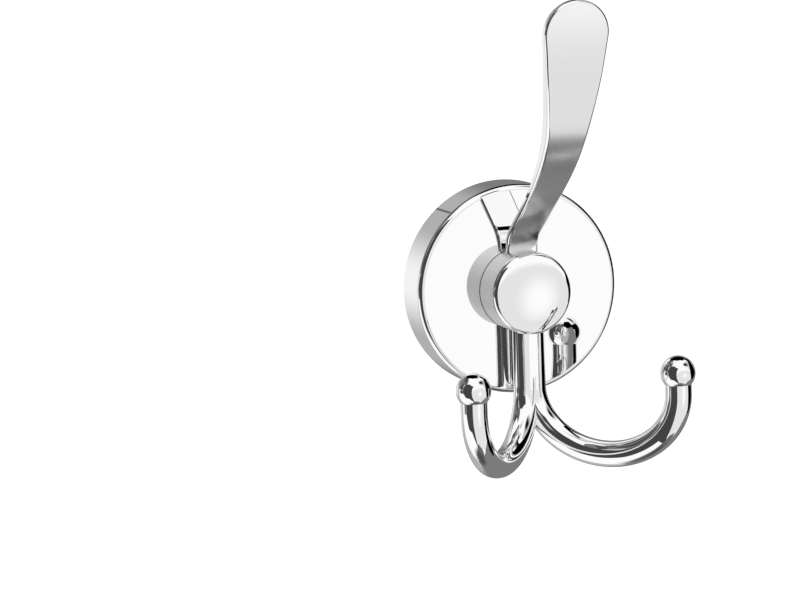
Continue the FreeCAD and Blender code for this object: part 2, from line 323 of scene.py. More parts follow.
def bar(skin, runs, low, high, turned):
    """Straight bar between two levels; its section is smooth runs of (u, v, outward u, outward v)"""
    outline = []
    for run in runs:
        lower = [(turned(u, v, low), turned(out_u, out_v, 0)) for u, v, out_u, out_v in run]
        upper = [(turned(u, v, high), turned(out_u, out_v, 0)) for u, v, out_u, out_v in run]
        skin.strip(lower, upper, closed=False)
        outline += run
    for level, way in ((low, -1), (high, 1)):
        skin.face([(turned(u, v, level), turned(0, 0, way)) for u, v, out_u, out_v in outline])


def box_runs(left, right, low, high):
    return [[(left, low, 0, -1), (right, low, 0, -1)], [(right, low, 1, 0), (right, high, 1, 0)],
            [(right, high, 0, 1), (left, high, 0, 1)], [(left, high, -1, 0), (left, low, -1, 0)]]


def double_d_runs(radius, flats):
    """Round section with a flat above and below"""
    rise = math.degrees(math.asin(flats / 2 / radius))
    half = math.sqrt(radius ** 2 - flats ** 2 / 4)
    right = arc_run((0, 0), radius, -rise, rise, HOLE_SIDES // 4)
    left = arc_run((0, 0), radius, 180 - rise, 180 + rise, HOLE_SIDES // 4)
    top = [(half, flats / 2, 0, 1), (-half, flats / 2, 0, 1)]
    bottom = [(-half, -flats / 2, 0, -1), (half, -flats / 2, 0, -1)]
    return [right, top, left, bottom]


# Rosette: turned cover with a boss inside, a double-D hole in its face and a screw hole below
def rosette_cover():
    skin = Skin()
    edge = (ROSETTE_RADIUS - ROSETTE_EDGE_ROUND, FACE_PLANE + ROSETTE_EDGE_ROUND)
    corner = (INNER_RADIUS - INNER_CORNER_ROUND, INNER_PLANE + INNER_CORNER_ROUND)
    outside = [(0, FACE_PLANE, 0, -1)]
    outside += arc_run(edge, ROSETTE_EDGE_ROUND, -90, 0, ROUND_STEPS)
    outside += [(ROSETTE_RADIUS, 0, 1, 0)]
    back = [(ROSETTE_RADIUS, 0, 0, 1), (INNER_RADIUS, 0, 0, 1)]
    inside = [(INNER_RADIUS, 0, -1, 0)]
    inside += arc_run(corner, INNER_CORNER_ROUND, 0, -90, ROUND_STEPS // 2, side=-1)
    inside += [(0, INNER_PLANE, 0, 1)]
    lathe(skin, [outside, back, inside], ROSETTE_SIDES)
    return skin


def set_screw_boss():
    skin = Skin()
    top = BOSS_HEIGHT - INNER_RADIUS
    foot = -INNER_RADIUS - RIM_WALL / 2
    half = BOSS_WIDTH / 2
    bar(skin, box_runs(-half, half, foot, top), INNER_PLANE - FACE_WALL / 2, -BOSS_BACK_MARGIN, along_y)
    return skin


def spigot_hole():
    skin = Skin()
    section = double_d_runs(SPIGOT_RADIUS, SPIGOT_FLATS)
    bar(skin, section, FACE_PLANE - FACE_WALL, INNER_PLANE + FACE_WALL, along_y)
    return skin


def set_screw_hole():
    skin = Skin()
    section = [arc_run((0, -SET_SCREW_PLACE), SET_SCREW_RADIUS, 0, 360, HOLE_SIDES)]
    bar(skin, section, -ROSETTE_RADIUS - RIM_WALL, RIM_WALL + BOSS_HEIGHT - INNER_RADIUS, along_z)
    return skin


# Casting: hub with a domed front, spigot behind it and tapped hole in the spigot
def arc_middle(point, radius, lean):
    """Middle of the arc that passes the point with the given lean, in degrees from the plane of the wall"""
    turn = math.radians(lean)
    return (point[0] - radius * math.sin(turn), point[1] + radius * math.cos(turn))


def hub():
    skin = Skin()
    edge_end = HUB_EDGE_LEAN - 90
    shoulder_end = HUB_SHOULDER_LEAN - 90
    edge_middle = arc_middle((HUB_RADIUS, HUB_SIDE_END), HUB_EDGE_ROUND, 90)
    edge = arc_run(edge_middle, HUB_EDGE_ROUND, 0, edge_end, ROUND_STEPS)
    shoulder_middle = arc_middle(edge[-1], HUB_SHOULDER_ROUND, HUB_EDGE_LEAN)
    shoulder = arc_run(shoulder_middle, HUB_SHOULDER_ROUND, edge_end, shoulder_end, ROUND_STEPS)
    dome_radius = shoulder[-1][0] / math.sin(math.radians(HUB_SHOULDER_LEAN))
    dome_middle = arc_middle(shoulder[-1], dome_radius, HUB_SHOULDER_LEAN)
    dome = arc_run((0, dome_middle[1]), dome_radius, shoulder_end, -90, DOME_STEPS)
    foot = HUB_RADIUS - HUB_BACK_CHAMFER
    slope = math.sqrt(0.5)
    back = [(0, FACE_PLANE, 0, 1), (foot, FACE_PLANE, 0, 1)]
    chamfer = [(foot, FACE_PLANE, slope, slope), (HUB_RADIUS, FACE_PLANE - HUB_BACK_CHAMFER, slope, slope)]
    front = [(HUB_RADIUS, FACE_PLANE - HUB_BACK_CHAMFER, 1, 0)] + edge + shoulder[1:] + dome[1:]
    lathe(skin, [back, chamfer, front], HUB_SIDES)
    return skin


def spigot():
    skin = Skin()
    top = INNER_PLANE - SPIGOT_GAP
    bar(skin, double_d_runs(SPIGOT_RADIUS, SPIGOT_FLATS), FACE_PLANE - HUB_LENGTH / 4, top, along_y)
    return skin


def tapped_hole():
    skin = Skin()
    end = INNER_PLANE - TAPPED_DEPTH
    tip = end - TAPPED_RADIUS / 2
    slope = math.sqrt(0.2)
    mouth = [(0, INNER_PLANE, 0, 1), (TAPPED_RADIUS, INNER_PLANE, 0, 1)]
    wall = [(TAPPED_RADIUS, INNER_PLANE, 1, 0), (TAPPED_RADIUS, end, 1, 0)]
    cone = [(TAPPED_RADIUS, end, slope, -2 * slope), (0, tip, slope, -2 * slope)]
    lathe(skin, [mouth, wall, cone], HOLE_SIDES)
    return skin


# Lever: the space between a front and a back curve, inside an outline with a round end, with rounded edges
class Curve:
    """Smooth plane curve through its points, with a given way at each end; knots are a chord apart"""

    def __init__(self, points, first_way, last_way):
        self.points = numpy.array(points, dtype=float)
        self.spans = numpy.linalg.norm(numpy.diff(self.points, axis=0), axis=1)
        count = len(points)
        matrix = numpy.eye(count)
        right = numpy.zeros((count, 2))
        right[0] = first_way
        right[-1] = last_way
        for i in range(1, count - 1):
            before, after = self.spans[i - 1], self.spans[i]
            matrix[i, i - 1:i + 2] = (1 / before, 2 / before + 2 / after, 1 / after)
            step_in = (self.points[i] - self.points[i - 1]) / before ** 2
            step_out = (self.points[i + 1] - self.points[i]) / after ** 2
            right[i] = 3 * (step_in + step_out)
        self.ways = numpy.linalg.solve(matrix, right)

    def samples(self, per_span):
        """Places and unit ways along the curve, with as many samples in each span"""
        places = []
        ways = []
        for i, span in enumerate(self.spans):
            shares = numpy.linspace(0, 1, per_span + 1)[:, None]
            if i > 0:
                shares = shares[1:]
            a, b = self.points[i], self.points[i + 1]
            p, q = self.ways[i] * span, self.ways[i + 1] * span
            s2, s3 = shares ** 2, shares ** 3
            places.append((2 * s3 - 3 * s2 + 1) * a + (s3 - 2 * s2 + shares) * p
                          + (3 * s2 - 2 * s3) * b + (s3 - s2) * q)
            ways.append((6 * s2 - 6 * shares) * (a - b) + (3 * s2 - 4 * shares + 1) * p
                        + (3 * s2 - 2 * shares) * q)
        places = numpy.concatenate(places)
        ways = numpy.concatenate(ways)
        return places, ways / numpy.linalg.norm(ways, axis=1)[:, None]


def lever_thick(share):
    """Thickness by the share of the lever's rise: even below the bend, greatest halfway up"""
    shares = (LEVER_THICK_FROM, 0.5, 1.0)
    return float(numpy.interp(share, shares, (LEVER_ROOT_THICK, LEVER_MID_THICK, LEVER_TIP_THICK)))


def lever_side_curves():
    """Front and back of the lever in its side view, as curves of (reach, height)"""
    tip_way = (math.sin(LEVER_TIP_LEAN), math.cos(LEVER_TIP_LEAN))
    front_points = []
    for up, out in LEVER_SIDE_SHAPE:
        front_points.append((LEVER_ROOT_REACH + out * LEVER_OUT, LEVER_ROOT_HEIGHT + up * LEVER_RISE))
    front = Curve(front_points, (0, 1), tip_way)
    back_points = []
    for (up, out), point, way in zip(LEVER_SIDE_SHAPE, front_points, front.ways):
        length = math.hypot(way[0], way[1])
        thick = lever_thick(up)
        back_points.append((point[0] - thick * way[1] / length, point[1] + thick * way[0] / length))
    return front, Curve(back_points, (0, 1), tip_way)


def edge_line(curve, side):
    """Middles of the rounding along a face of the lever: height, reach and lean; side is 1 for the front"""
    places, ways = curve.samples(CURVE_SAMPLES)
    reach = places[:, 0] - side * LEVER_EDGE_ROUND * ways[:, 1]
    height = places[:, 1] + side * LEVER_EDGE_ROUND * ways[:, 0]
    return height, reach, numpy.arctan2(ways[:, 0], ways[:, 1])


def lever_outline():
    """Right side of the lever's front view up to its top, as (x, z, outward x, outward z)"""
    centre = LEVER_TIP_HEIGHT - LEVER_END_RADIUS
    way = (math.sin(LEVER_SIDE_LEAN), math.cos(LEVER_SIDE_LEAN))
    end = (LEVER_END_RADIUS * way[1], centre - LEVER_END_RADIUS * way[0])
    points = []
    for up, widening in LEVER_FRONT_SHAPE:
        half = LEVER_NECK_HALF + widening * (LEVER_END_RADIUS - LEVER_NECK_HALF)
        points.append((half, LEVER_ROOT_HEIGHT + up * LEVER_RISE))
    points.append(end)
    side = Curve(points, (0, 1), way)
    places, ways = side.samples(LEVER_SIDE_STEPS // len(LEVER_FRONT_SHAPE))
    line = [(x, z, way_z, -way_x) for (x, z), (way_x, way_z) in zip(places[:-1], ways[:-1])]
    lean = math.degrees(LEVER_SIDE_LEAN)
    return line + arc_run((0, centre), LEVER_END_RADIUS, -lean, 90, LEVER_END_STEPS)


def lever():
    skin = Skin()
    front, back = lever_side_curves()
    front_edge = edge_line(front, 1)
    back_edge = edge_line(back, -1)
    lines = []
    for x, z, out_x, out_z in lever_outline():
        lines.append(lever_ring(x, z, out_x, out_z, front_edge, back_edge))
    skin.rings(lines)
    skin.face([(place, (0, 0, -1)) for place, normal in lines[0]])
    return skin


def lever_ring(x, z, out_x, out_z, front_edge, back_edge):
    """Closed line round the lever through one point of its outline: front, right edge, back, left edge"""
    middle_x = x - LEVER_EDGE_ROUND * out_x
    middle_z = z - LEVER_EDGE_ROUND * out_z
    outward = Vector((out_x, 0, out_z))
    arcs = []
    for (heights, reaches, leans), side in ((front_edge, 1), (back_edge, -1)):
        reach = float(numpy.interp(middle_z, heights, reaches))
        lean = float(numpy.interp(middle_z, heights, leans))
        face = Vector((0, -side * math.cos(lean), -side * math.sin(lean)))
        middle = Vector((middle_x, -reach, middle_z))
        turn = face.angle(outward)
        arc = []
        for step in range(LEVER_ROUND_STEPS + 1):
            share = step / LEVER_ROUND_STEPS
            normal = math.sin((1 - share) * turn) * face + math.sin(share * turn) * outward
            normal /= math.sin(turn)
            arc.append((middle + LEVER_EDGE_ROUND * normal, normal))
        arcs.append(arc)
    right = arcs[0] + arcs[1][::-1]
    left = [(mirrored(place), mirrored(normal)) for place, normal in right[::-1]]
    return across(left[-1], right[0]) + right + across(right[-1], left[0]) + left


def mirrored(place):
    return Vector((-place[0], place[1], place[2]))


def across(first, last):
    """Points between two points of one flat face"""
    points = []
    for step in range(1, LEVER_ACROSS):
        share = step / LEVER_ACROSS
        points.append((first[0].lerp(last[0], share), first[1]))
    return points


# Prong: half of the stem, one bend and one ball
def prong(side):
    skin = Skin()
    outward = Vector((BALL_SIDE - ROD_OFFSET, STEM_REACH - BALL_REACH, 0))
    half_span = outward.length / 2
    outward.normalize()
    level = outward.cross(Vector((0, 0, 1)))
    up = Vector((0, 0, 1))
    start = Vector((ROD_OFFSET, -STEM_REACH, 0))
    end = Vector((BALL_SIDE, -BALL_REACH, 0))
    middle = (start + end) / 2
    first_turn = math.atan2(-outward.y, -level.y)

    def ring(centre, way, radius, rise):
        """Circle about the path; rise is how far the outward normals lean along the path"""
        third = level.cross(way)
        line = []
        for step in range(ROD_SIDES):
            turn = first_turn + 2 * math.pi * step / ROD_SIDES
            out = math.cos(turn) * level + math.sin(turn) * third
            place = centre + radius * out
            normal = math.cos(rise) * out + math.sin(rise) * way
            line.append(((side * place.x, place.y, place.z), (side * normal.x, normal.y, normal.z)))
        return line

    lines = []
    for height in (STEM_TOP, (STEM_TOP + FORK_HEIGHT) / 2):
        lines.append(ring(start - height * up, -up, ROD_RADIUS, 0))
    for step in range(BEND_STEPS + 1):
        turn = math.pi * step / BEND_STEPS
        drop = PRONG_LOW - FORK_HEIGHT
        centre = middle - half_span * math.cos(turn) * outward - (FORK_HEIGHT + drop * math.sin(turn)) * up
        way = half_span * math.sin(turn) * outward - drop * math.cos(turn) * up
        lines.append(ring(centre, way.normalized(), ROD_RADIUS, 0))
    sink = math.acos(ROD_RADIUS / BALL_RADIUS)
    neck = end - (BALL_HEIGHT + BALL_RADIUS * math.sin(sink)) * up
    lines.append(ring(neck, up, ROD_RADIUS, 0))
    skin.rings(lines)
    skin.face([(place, (0, 0, 1)) for place, normal in lines[0]])
    ball = []
    for step in range(BALL_STEPS + 1):
        rise = -sink + (math.pi / 2 + sink) * step / BALL_STEPS
        centre = end - (BALL_HEIGHT - BALL_RADIUS * math.sin(rise)) * up
        ball.append(ring(centre, up, BALL_RADIUS * math.cos(rise), rise))
    skin.rings(ball)
    return skin


def stem_web():
    """Plate between the two rods, thinner below, where the fork's groove begins"""
    skin = Skin()
    front = -STEM_REACH - ROD_RADIUS
    back = -STEM_REACH + ROD_RADIUS
    end = -FORK_HEIGHT - FORK_FADE
    groove = GROOVE_RISE - FORK_HEIGHT
    corners = [(front, -STEM_TOP), (front, groove), (front + FORK_FADE_DEPTH, end),
               (back - FORK_FADE_DEPTH, end), (back, -FORK_HEIGHT), (back, -STEM_TOP)]
    middle = Vector((0, -STEM_REACH, -FORK_HEIGHT))
    for first, second in zip(corners, corners[1:] + corners[:1]):
        normal = Vector((0, second[1] - first[1], first[0] - second[0]))
        if normal.dot(Vector((0, first[0], first[1])) - middle) < 0:
            normal.negate()
        square = [(-ROD_OFFSET, *first), (ROD_OFFSET, *first)]
        square += [(ROD_OFFSET, *second), (-ROD_OFFSET, *second)]
        skin.face([(place, normal) for place in square])
    for side in (-1, 1):
        skin.face([((side * ROD_OFFSET, *corner), (side, 0, 0)) for corner in corners])
    return skin


def made_one(name, joined, taken):
    """One closed mesh: the joined skins less the taken ones, shaded by their true normals"""
    things = [skin.to_object("join_" + str(i)) for i, skin in enumerate(joined)]
    tools = [skin.to_object("take_" + str(i)) for i, skin in enumerate(taken)]
    for thing in things[1:] + tools:
        cut = things[0].modifiers.new(thing.name, "BOOLEAN")
        cut.operation = "DIFFERENCE" if thing in tools else "UNION"
        cut.solver = "EXACT"
        cut.object = thing
    bpy.context.view_layer.update()
    shaped = things[0].evaluated_get(bpy.context.evaluated_depsgraph_get())
    mesh = bpy.data.meshes.new_from_object(shaped)
    for thing in things + tools:
        bpy.data.meshes.remove(thing.data)
    true_normal = mesh.attributes["true_normal"]
    normals = numpy.zeros(len(mesh.loops) * 3)
    true_normal.data.foreach_get("vector", normals)
    normals = normals.reshape(-1, 3)
    for face in mesh.polygons:
        face.use_smooth = True
        corners = slice(face.loop_start, face.loop_start + face.loop_total)
        if Vector(normals[corners].sum(axis=0)).dot(face.normal) < 0:
            normals[corners] *= -1
    mesh.attributes.remove(true_normal)
    mesh.normals_split_custom_set(normals.tolist())
    mesh.name = name
    piece = bpy.data.objects.new(name, mesh)
    bpy.context.collection.objects.link(piece)
    return piece


def new_material(name):
    material = bpy.data.materials.new(name)
    material.use_nodes = True
    nodes = material.node_tree.nodes
    nodes.clear()
    return material, nodes, material.node_tree.links


def add(nodes, kind, **values):
    node = nodes.new(kind)
    for key, value in values.items():
        setattr(node, key, value)
    return node


def ramp_between(nodes, low, high, first, last):
    """Map Range that goes from first to last while its input goes from low to high, softly"""
    node = add(nodes, "ShaderNodeMapRange", interpolation_type="SMOOTHSTEP")
    node.inputs["From Min"].default_value = low
    node.inputs["From Max"].default_value = high
    node.inputs["To Min"].default_value = first
    node.inputs["To Max"].default_value = last
    return node


# Materials of the object
def times(nodes, links, first, second):
    node = add(nodes, "ShaderNodeMath", operation="MULTIPLY")
    links.new(first, node.inputs[0])
    links.new(second, node.inputs[1])
    return node.outputs["Value"]


def mask(nodes, links, value, low, high, first=0, last=1):
    """Soft step from first to last while the value goes from low to high"""
    node = ramp_between(nodes, low, high, first, last)
    links.new(value, node.inputs["Value"])
    return node.outputs["Result"]


def chosen(nodes, links, factor, outside, within):
    """Number that goes from outside to within as the factor goes from 0 to 1; either may be a socket"""
    node = add(nodes, "ShaderNodeMix", data_type="FLOAT")
    links.new(factor, node.inputs["Factor"])
    if isinstance(outside, float):
        node.inputs["A"].default_value = outside
    else:
        links.new(outside, node.inputs["A"])
    if isinstance(within, float):
        node.inputs["B"].default_value = within
    else:
        links.new(within, node.inputs["B"])
    return node.outputs["Result"]


def tinted(nodes, links, factor, outside, within):
    node = add(nodes, "ShaderNodeMix", data_type="RGBA")
    links.new(factor, node.inputs["Factor"])
    if isinstance(outside, tuple):
        node.inputs["A"].default_value = outside
    else:
        links.new(outside, node.inputs["A"])
    node.inputs["B"].default_value = within
    return node.outputs["Result"]


def axes_of(nodes, links, vector):
    node = add(nodes, "ShaderNodeSeparateXYZ")
    links.new(vector, node.inputs["Vector"])
    return node.outputs


def round_the_axis(nodes, links, place, normal):
    """Distance from the Y axis, and how far the surface faces straight out from it"""
    flat = add(nodes, "ShaderNodeVectorMath", operation="MULTIPLY")
    flat.inputs[1].default_value = (1, 0, 1)
    links.new(place, flat.inputs[0])
    length = add(nodes, "ShaderNodeVectorMath", operation="LENGTH")
    links.new(flat.outputs["Vector"], length.inputs[0])
    outward = add(nodes, "ShaderNodeVectorMath", operation="NORMALIZE")
    links.new(flat.outputs["Vector"], outward.inputs[0])
    facing = add(nodes, "ShaderNodeVectorMath", operation="DOT_PRODUCT")
    links.new(outward.outputs["Vector"], facing.inputs[0])
    links.new(normal, facing.inputs[1])
    return length.outputs["Value"], facing.outputs["Value"]


def chrome_areas(nodes, links, place):
    """Masks of the areas that aren't mirror-bright, of the painted shade at the lever's root, on its low
    sides and round the hub's foot, and the roughness along the lever's front
    """
    normal = add(nodes, "ShaderNodeNewGeometry").outputs["Normal"]
    at = axes_of(nodes, links, place)
    facets = axes_of(nodes, links, normal)
    radius, facing = round_the_axis(nodes, links, place, normal)

    within = mask(nodes, links, radius, *INSIDE_RADII, 1, 0)
    behind = mask(nodes, links, at["Y"], *INSIDE_PLANES)
    inside = times(nodes, links, within, behind)

    beyond = mask(nodes, links, radius, *HUB_SIDE_INNER_RADII)
    short = mask(nodes, links, radius, *HUB_SIDE_OUTER_RADII, 1, 0)
    round_side = mask(nodes, links, facing, *STRAIGHT_OUT)
    hub_side = times(nodes, links, times(nodes, links, beyond, short), round_side)
    # Painted contact shade: ring round the hub's foot, on the hub and on the cover's face next to it
    around_hub = times(nodes, links, mask(nodes, links, radius, *HUB_CONTACT_SHADE_RADII), short)
    painted_contact_shade = times(nodes, links, around_hub, mask(nodes, links, at["Y"], *HUB_CONTACT_SHADE_PLANES))

    above = mask(nodes, links, at["Z"], *LEVER_SATIN_HEIGHTS)
    forward = mask(nodes, links, at["Y"], *LEVER_PLANES, 1, 0)
    lever_arm = times(nodes, links, above, forward)
    sideways = add(nodes, "ShaderNodeMath", operation="ABSOLUTE")
    links.new(facets["X"], sideways.inputs[0])
    sideways = sideways.outputs["Value"]
    lever_face = times(nodes, links, lever_arm, mask(nodes, links, sideways, *LEVEL_ACROSS, 1, 0))
    lever_face = times(nodes, links, lever_face, mask(nodes, links, facets["Y"], *TO_THE_FRONT, 1, 0))
    # The lever's low sides: satin roughness, and painted shade in their colour
    lever_side_satin_and_shade = times(nodes, links, lever_arm, mask(nodes, links, sideways, *STRAIGHT_OUT))
    lever_side_satin_and_shade = times(nodes, links, lever_side_satin_and_shade, mask(nodes, links, at["Z"], *LEVER_SIDE_SATIN_AND_SHADE_HEIGHTS, 1, 0))
    # Painted shade on the lever's front near its root
    lever_root_painted_shade = mask(nodes, links, at["Z"], *LEVER_ROOT_SHADE_HEIGHTS, 1, 0)
    lever_root_painted_shade = times(nodes, links, lever_face, lever_root_painted_shade)
    lever_rough = mask(nodes, links, at["Z"], *LEVER_ROUGH_HEIGHTS, LEVER_ROOT_ROUGH, LEVER_ROUGH)
    return {"inside": inside, "hub_side": hub_side, "painted_contact_shade": painted_contact_shade, "lever_face": lever_face,
            "lever_side_satin_and_shade": lever_side_satin_and_shade, "lever_root_painted_shade": lever_root_painted_shade, "lever_rough": lever_rough}


def chrome():
    """Chrome: a mirror, but satin on the lever's front and low sides and on the hub's side, dull inside,
    with painted shade at the lever's root, on its low sides and round the hub's foot
    """
    material, nodes, links = new_material("polished_chrome")
    output = add(nodes, "ShaderNodeOutputMaterial")
    shader = add(nodes, "ShaderNodeBsdfPrincipled")
    shader.inputs["Metallic"].default_value = 1.0
    place = add(nodes, "ShaderNodeTexCoord").outputs["Object"]
    areas = chrome_areas(nodes, links, place)

    polish = add(nodes, "ShaderNodeTexNoise")
    polish.inputs["Scale"].default_value = POLISH_SCALE
    polish.inputs["Detail"].default_value = POLISH_DETAIL
    links.new(place, polish.inputs["Vector"])
    rough = mask(nodes, links, polish.outputs["Fac"], *POLISH_SPREAD, *POLISH_ROUGH)
    rough = chosen(nodes, links, areas["lever_face"], rough, areas["lever_rough"])
    rough = chosen(nodes, links, areas["hub_side"], rough, HUB_SIDE_ROUGH)
    rough = chosen(nodes, links, areas["lever_side_satin_and_shade"], rough, HUB_SIDE_ROUGH)
    rough = chosen(nodes, links, areas["inside"], rough, INSIDE_ROUGH)
    links.new(rough, shader.inputs["Roughness"])

    colour = tinted(nodes, links, areas["hub_side"], CHROME_COLOUR, HUB_SIDE_COLOUR)
    # Painted shade on the lever's low sides
    colour = tinted(nodes, links, areas["lever_side_satin_and_shade"], colour, LEVER_LOW_SIDE_SHADE_COLOUR)
    # Painted shade on the lever's front near its root
    colour = tinted(nodes, links, areas["lever_root_painted_shade"], colour, LEVER_ROOT_SHADE_COLOUR)
    # Painted contact shade round the hub's foot
    colour = tinted(nodes, links, areas["painted_contact_shade"], colour, HUB_CONTACT_SHADE_COLOUR)
    colour = tinted(nodes, links, areas["inside"], colour, INSIDE_COLOUR)
    links.new(colour, shader.inputs["Base Color"])

    grain = add(nodes, "ShaderNodeTexNoise")
    grain.inputs["Scale"].default_value = GRAIN_SCALE
    links.new(place, grain.inputs["Vector"])
    bump = add(nodes, "ShaderNodeBump")
    bump.inputs["Distance"].default_value = GRAIN_DEPTH
    links.new(chosen(nodes, links, areas["inside"], 0.0, GRAIN_STRENGTH), bump.inputs["Strength"])
    links.new(grain.outputs["Fac"], bump.inputs["Height"])
    links.new(bump.outputs["Normal"], shader.inputs["Normal"])
    links.new(shader.outputs["BSDF"], output.inputs["Surface"])
    return material


def cast_metal(name, colours, roughs, scale, depth):
    """Plain metal with a fine uneven plating: colour, gloss and a slight bump follow one noise"""
    material, nodes, links = new_material(name)
    output = add(nodes, "ShaderNodeOutputMaterial")
    shader = add(nodes, "ShaderNodeBsdfPrincipled")
    shader.inputs["Metallic"].default_value = 1.0
    place = add(nodes, "ShaderNodeTexCoord")
    noise = add(nodes, "ShaderNodeTexNoise")
    noise.inputs["Scale"].default_value = scale
    noise.inputs["Detail"].default_value = PLATING_DETAIL
    links.new(place.outputs["Object"], noise.inputs["Vector"])
    colour = add(nodes, "ShaderNodeMix", data_type="RGBA")
    links.new(noise.outputs["Fac"], colour.inputs["Factor"])
    colour.inputs["A"].default_value = colours[0]
    colour.inputs["B"].default_value = colours[1]
    links.new(colour.outputs["Result"], shader.inputs["Base Color"])
    rough = ramp_between(nodes, *PLATING_SPREAD, *roughs)
    links.new(noise.outputs["Fac"], rough.inputs["Value"])
    links.new(rough.outputs["Result"], shader.inputs["Roughness"])
    bump = add(nodes, "ShaderNodeBump")
    bump.inputs["Strength"].default_value = PLATING_STRENGTH
    bump.inputs["Distance"].default_value = depth
    links.new(noise.outputs["Fac"], bump.inputs["Height"])
    links.new(bump.outputs["Normal"], shader.inputs["Normal"])
    links.new(shader.outputs["BSDF"], output.inputs["Surface"])
    return material


# Studio
def direction(turn, rise):
    """Unit vector to the right of the front by turn and above level by rise, both in degrees"""
    t, r = math.radians(turn), math.radians(rise)
    return Vector((math.sin(t) * math.cos(r), -math.cos(t) * math.cos(r), math.sin(r)))


def card_axes(axis):
    """Two directions square to the axis and to each other: level, and up"""
    side = Vector((0, 0, 1)).cross(axis)
    if side.length < NEARLY_UPRIGHT:
        side = Vector((1, 0, 0))
    side.normalize()
    return side, axis.cross(side)


def outline(places):
    return [direction(turn, rise) for turn, rise in places]


def oval(turn, rise, wide, tall):
    """Directions round an oval of the given half width and half height in degrees"""
    axis = direction(turn, rise)
    side, up = card_axes(axis)
    rays = []
    for step in range(OVAL_SIDES):
        angle = 2 * math.pi * step / OVAL_SIDES
        along_side = math.tan(math.radians(wide)) * math.cos(angle)
        along_up = math.tan(math.radians(tall)) * math.sin(angle)
        rays.append((axis + along_side * side + along_up * up).normalized())
    return rays


def soft_glow(name, level):
    """Plain glow where the card's cover is whole, clear where it is gone"""
    material, nodes, links = new_material(name)
    output = add(nodes, "ShaderNodeOutputMaterial")
    glow = add(nodes, "ShaderNodeEmission")
    glow.inputs["Color"].default_value = (level, level, level, 1)
    clear = add(nodes, "ShaderNodeBsdfTransparent")
    cover = add(nodes, "ShaderNodeAttribute", attribute_name="cover")
    fade = ramp_between(nodes, 0, 1, 0, 1)
    links.new(cover.outputs["Fac"], fade.inputs["Value"])
    mix = add(nodes, "ShaderNodeMixShader")
    links.new(fade.outputs["Result"], mix.inputs["Fac"])
    links.new(clear.outputs["BSDF"], mix.inputs[1])
    links.new(glow.outputs["Emission"], mix.inputs[2])
    links.new(mix.outputs["Shader"], output.inputs["Surface"])
    return material


def card(name, rays, level, soft, layer):
    """Card across the given directions, soft over a share of its size; higher layers are nearer"""
    axis = sum(rays, Vector((0, 0, 0))).normalized()
    side, up = card_axes(axis)
    corners = [Vector((ray.dot(side), ray.dot(up))) / ray.dot(axis) for ray in rays]
    middle = sum(corners, Vector((0, 0))) / len(corners)
    border = []
    for first, second, ray, after in zip(corners, corners[1:] + corners[:1], rays, rays[1:] + rays[:1]):
        count = max(1, math.ceil(ray.angle(after) / CARD_FINENESS))
        border += [first.lerp(second, step / count) - middle for step in range(count)]
    widest = max(math.atan(corner.length) for corner in border)
    rings = max(2, math.ceil(widest / CARD_FINENESS))
    soft_rings = max(1, math.ceil(2 * soft * widest / CARD_FINENESS))
    scales = [(1 - soft) * (step + 1) / rings for step in range(rings)]
    scales += [1 - soft + 2 * soft * (step + 1) / soft_rings for step in range(soft_rings)]
    far = CARD_DISTANCE * (1 - LAYER_STEP * layer)

    def point(flat):
        return tuple(far * (axis + flat.x * side + flat.y * up).normalized())

    points = [point(middle)]
    covers = [1.0]
    for scale in scales:
        points += [point(middle + scale * corner) for corner in border]
        covers += [min(1.0, (1 + soft - scale) / (2 * soft))] * len(border)
    faces = []
    for step in range(len(border)):
        after = (step + 1) % len(border)
        faces.append((0, 1 + step, 1 + after))
        for ring in range(len(scales) - 1):
            inner = 1 + ring * len(border)
            outer = inner + len(border)
            faces.append((inner + step, outer + step, outer + after, inner + after))
    mesh = bpy.data.meshes.new(name)
    mesh.from_pydata(points, [], faces)
    mesh.update()
    mesh.attributes.new("cover", "FLOAT", "POINT").data.foreach_set("value", covers)
    piece = bpy.data.objects.new(name, mesh)
    bpy.context.collection.objects.link(piece)
    mesh.materials.append(soft_glow(name, level))
    piece.visible_camera = False
    piece.visible_diffuse = False
    piece.visible_shadow = False
    piece.visible_volume_scatter = False


def studio_world():
    """White for the camera and in the metal, and a plain pale ambient light for everything else"""
    world = bpy.data.worlds.new("studio_world")
    bpy.context.scene.world = world
    world.use_nodes = True
    nodes = world.node_tree.nodes
    links = world.node_tree.links
    nodes.clear()
    output = add(nodes, "ShaderNodeOutputWorld")
    background = add(nodes, "ShaderNodeBackground")
    background.inputs["Color"].default_value = (1, 1, 1, 1)
    path = add(nodes, "ShaderNodeLightPath")
    seen = add(nodes, "ShaderNodeMath", operation="MAXIMUM")
    links.new(path.outputs["Is Camera Ray"], seen.inputs[0])
    links.new(path.outputs["Is Glossy Ray"], seen.inputs[1])
    through = add(nodes, "ShaderNodeMath", operation="MAXIMUM")
    links.new(seen.outputs["Value"], through.inputs[0])
    links.new(path.outputs["Is Transmission Ray"], through.inputs[1])
    level = ramp_between(nodes, 0, 1, AMBIENT, WHITE)
    links.new(through.outputs["Value"], level.inputs["Value"])
    links.new(level.outputs["Result"], background.inputs["Strength"])
    links.new(background.outputs["Background"], output.inputs["Surface"])


